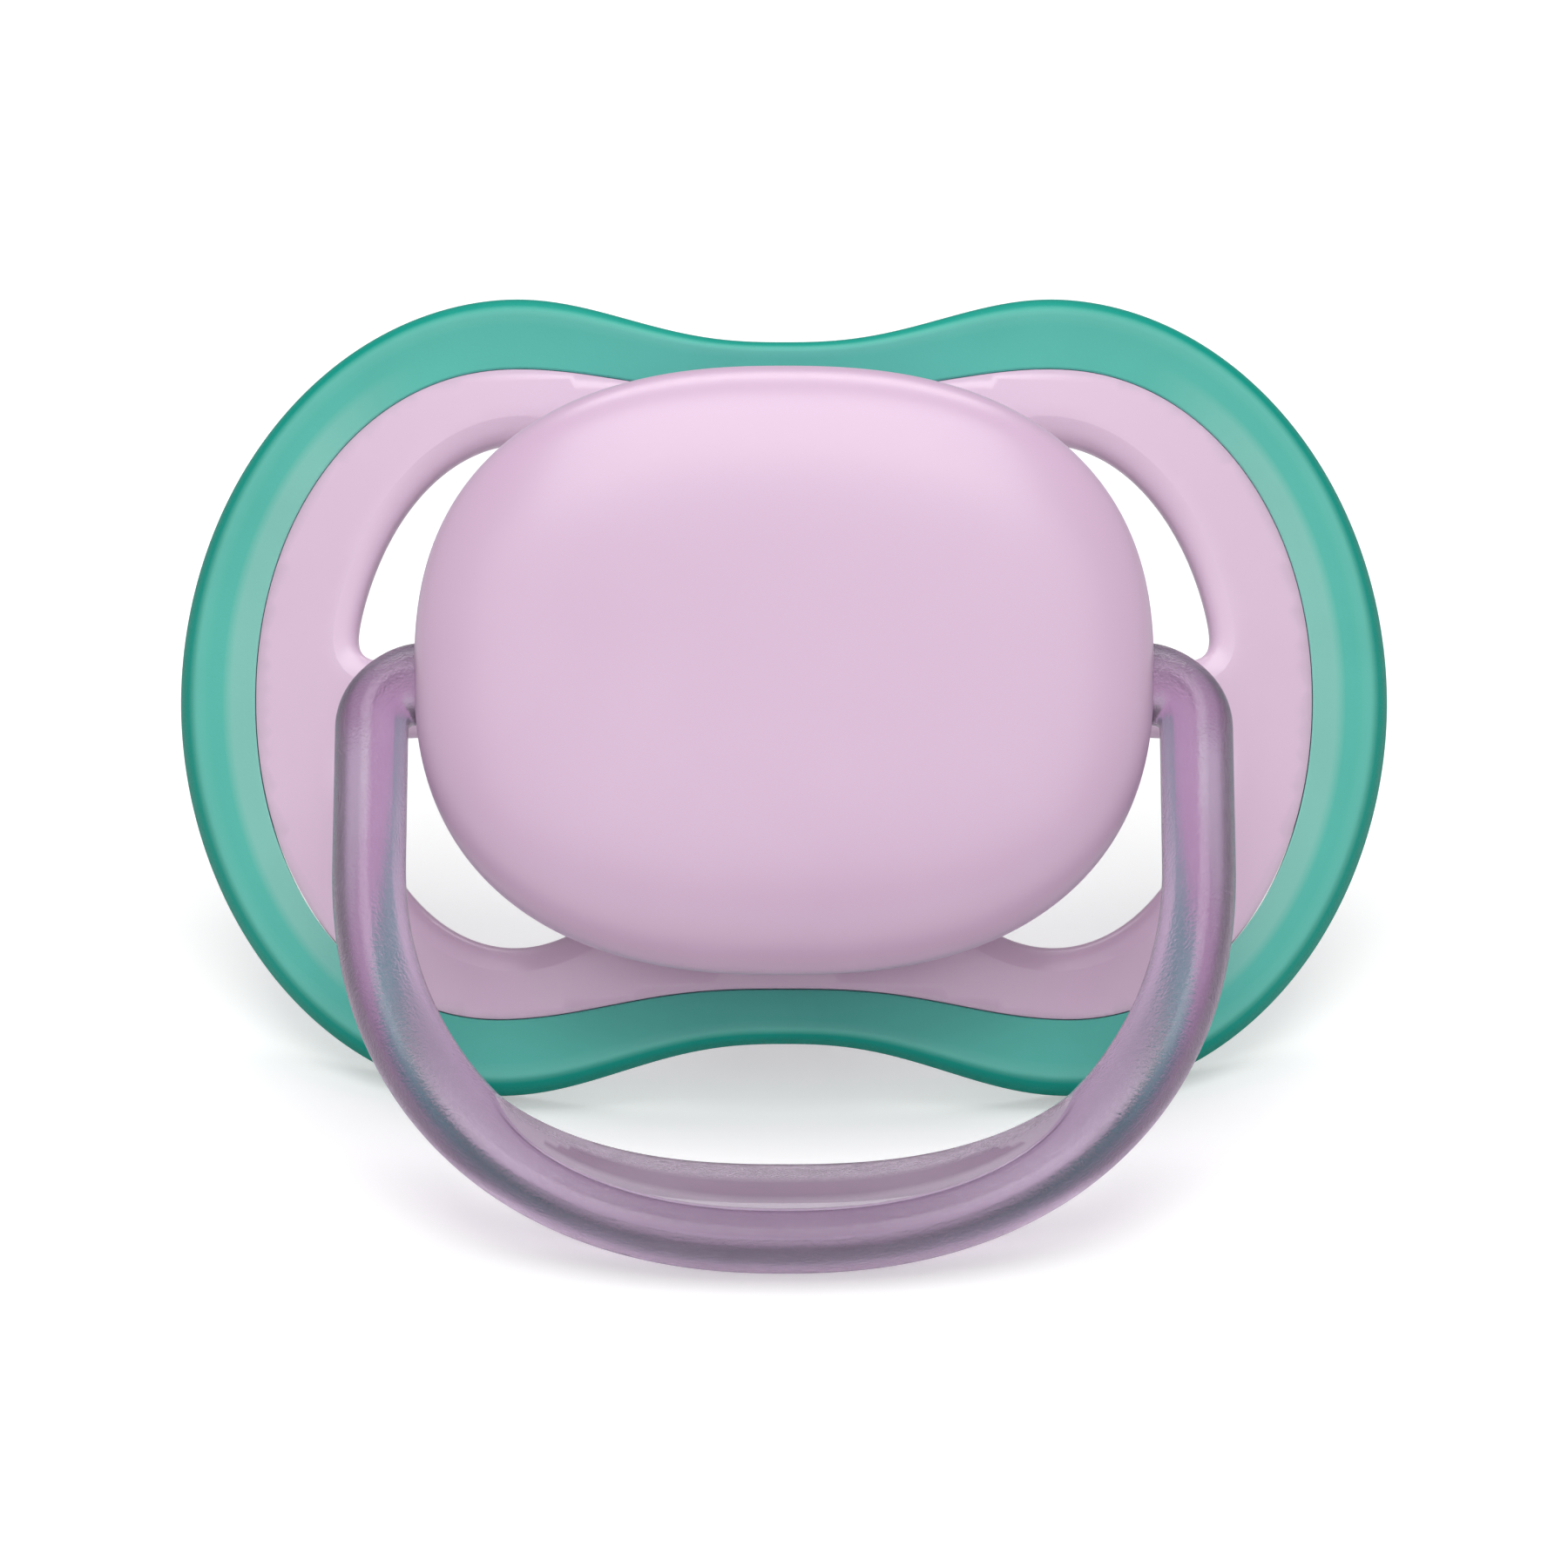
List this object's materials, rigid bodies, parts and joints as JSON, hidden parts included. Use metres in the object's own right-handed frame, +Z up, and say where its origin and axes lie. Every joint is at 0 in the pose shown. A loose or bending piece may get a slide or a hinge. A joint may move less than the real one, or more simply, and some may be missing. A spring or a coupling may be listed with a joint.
{
  "type": "baby pacifier",
  "caption": "Baby pacifier with a bowed, vented shield, a soft contrasting rim, a hollow teat and a translucent swinging ring handle.",
  "frame": {"origin": "on the table, under the middle of the bounding box of the pacifier as it stands at rest", "axes": "+Z up; the face of the pacifier looks along -Y and leans back; +X runs across its width"},
  "size_m": [0.06, 0.0518, 0.0347],
  "materials": {
    "pink_plastic": "satin",
    "teal_soft_rim": "soft matt",
    "clear_silicone": "smooth, see-through",
    "plug_plastic": "satin",
    "lilac_plastic": "frosted, translucent"
  },
  "bodies": {
    "soother": {"shield_plate": "pink_plastic", "shield_rim": "teal_soft_rim", "teat": "clear_silicone", "teat_plug": "plug_plastic", "front_button": "pink_plastic"},
    "handle": {"ring_handle": "lilac_plastic"}
  },
  "joints": [
    {"name": "ring_hinge", "type": "hinge", "parent": "soother", "child": "handle", "pos_m": [0, -0.00275, 0.02039], "axis": [-1, 0, 0], "range_deg": [-23, 170]}
  ]
}
